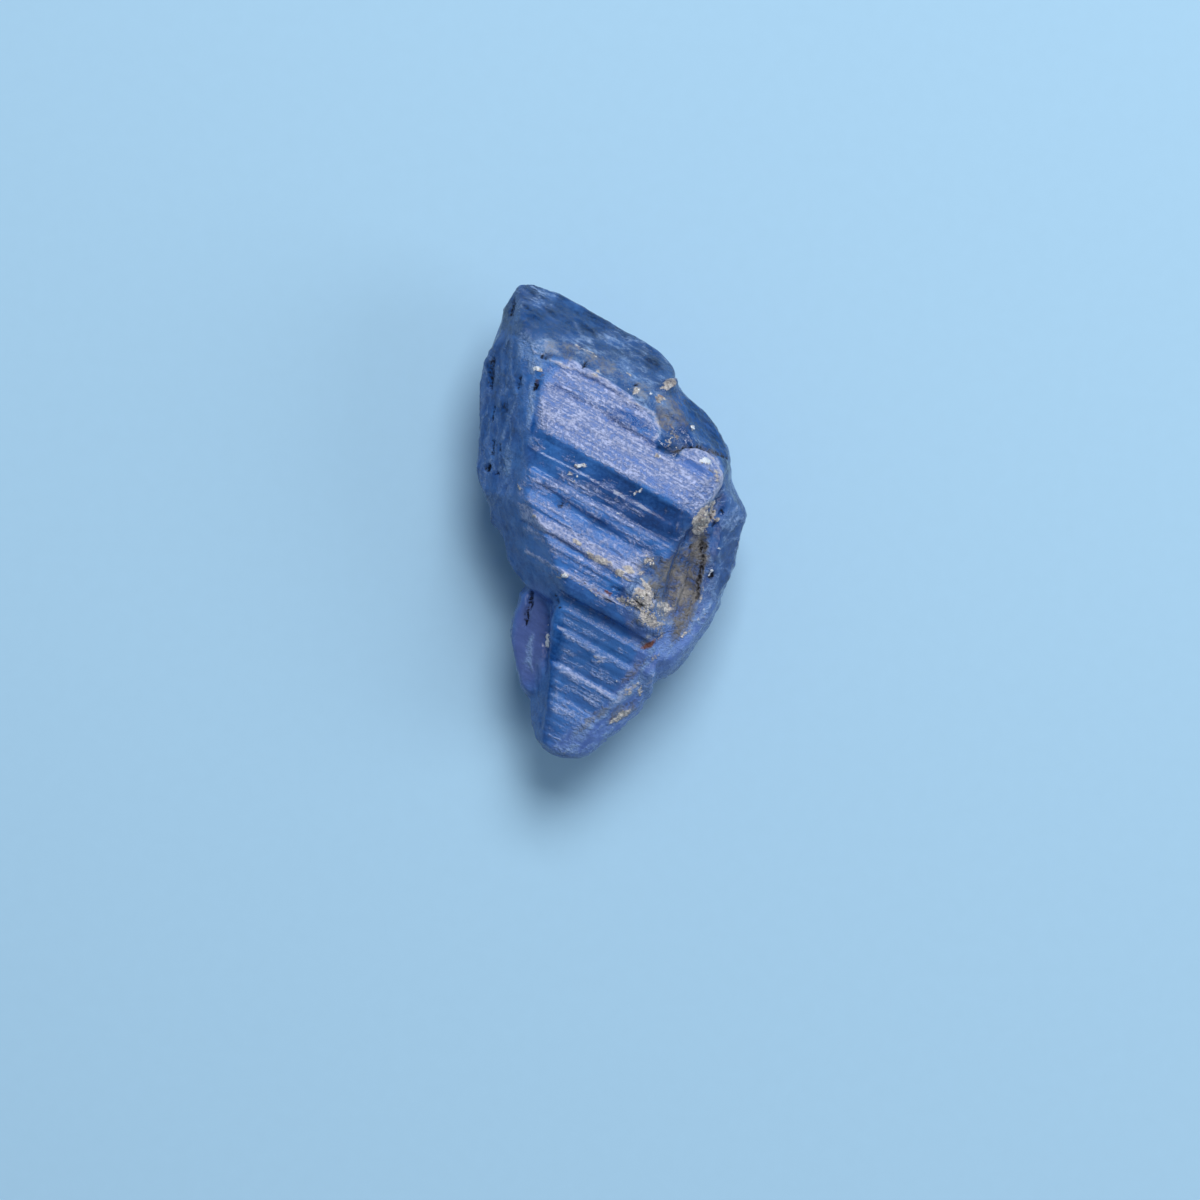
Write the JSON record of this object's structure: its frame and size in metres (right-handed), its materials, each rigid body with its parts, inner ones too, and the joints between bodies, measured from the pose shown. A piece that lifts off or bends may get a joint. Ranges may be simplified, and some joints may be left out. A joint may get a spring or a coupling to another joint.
{
  "type": "rough tanzanite crystal",
  "caption": "Broken, striated blue-violet gem crystal with a rough roof face, a side ledge and a tapering tip, lying on a flat of its back.",
  "frame": {"origin": "middle of the crystal's length and width, on the rest flat of its back", "axes": "+Z out of the striated front, +Y towards the apex, +X towards the ledge side"},
  "size_m": [0.0068, 0.012, 0.0048],
  "materials": {
    "tanzanite": "glassy on clean breaks, frosted on striated bands"
  },
  "bodies": {
    "root": {"tanzanite_crystal": "tanzanite"}
  },
  "joints": []
}
